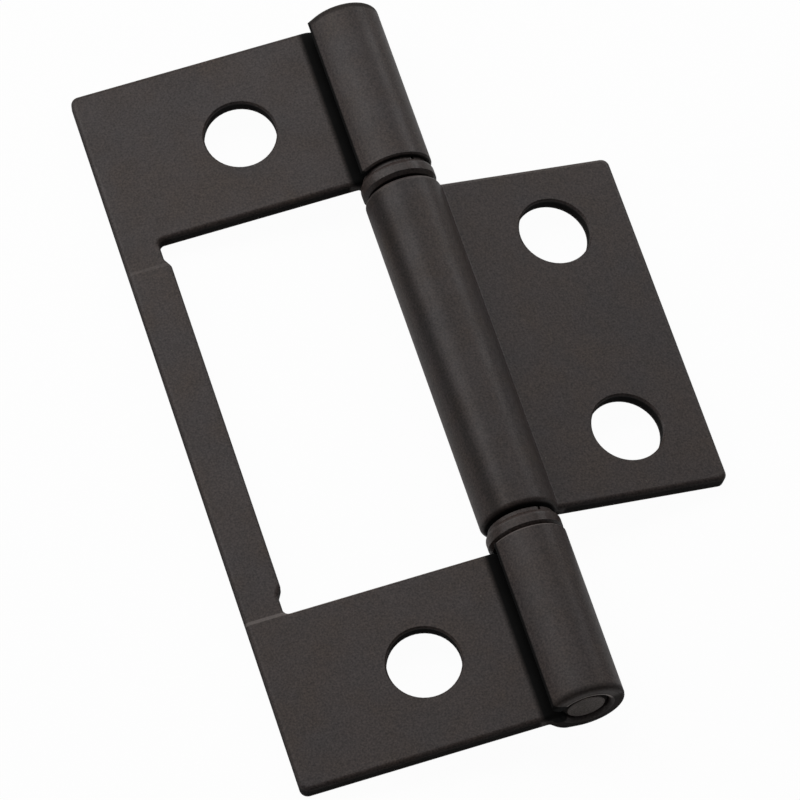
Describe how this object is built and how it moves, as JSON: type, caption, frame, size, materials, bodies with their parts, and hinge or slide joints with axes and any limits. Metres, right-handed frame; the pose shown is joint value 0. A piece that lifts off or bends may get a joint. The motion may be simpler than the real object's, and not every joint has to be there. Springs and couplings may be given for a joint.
{
  "type": "bifold hinge",
  "caption": "Non-mortise bifold hinge: a windowed C-shaped leaf with rolled end knuckles, and a short leaf that folds flat into the window, turning on a pin with stepped bushings.",
  "frame": {"origin": "middle of the long leaf's two screw holes, on the leaf's mounting face", "axes": "+Z out of the long leaf on its knuckle side, +Y along the pin, +X from the long leaf to the short one"},
  "size_m": [0.048, 0.0762, 0.0094],
  "materials": {
    "leaf_paint": "satin dark bronze paint",
    "pin_paint": "satin dark bronze paint",
    "bushing_paint": "satin dark bronze paint"
  },
  "bodies": {
    "long_leaf": {"outer_leaf": "leaf_paint", "hinge_pin": "pin_paint", "upper_bushing": "bushing_paint", "lower_bushing": "bushing_paint"},
    "short_leaf": {"inner_leaf": "leaf_paint"}
  },
  "joints": [
    {"name": "leaf_swing", "type": "hinge", "parent": "long_leaf", "child": "short_leaf", "pos_m": [0.0128, 0, 0.00122], "axis": [0, -1, 0], "continuous": true}
  ]
}
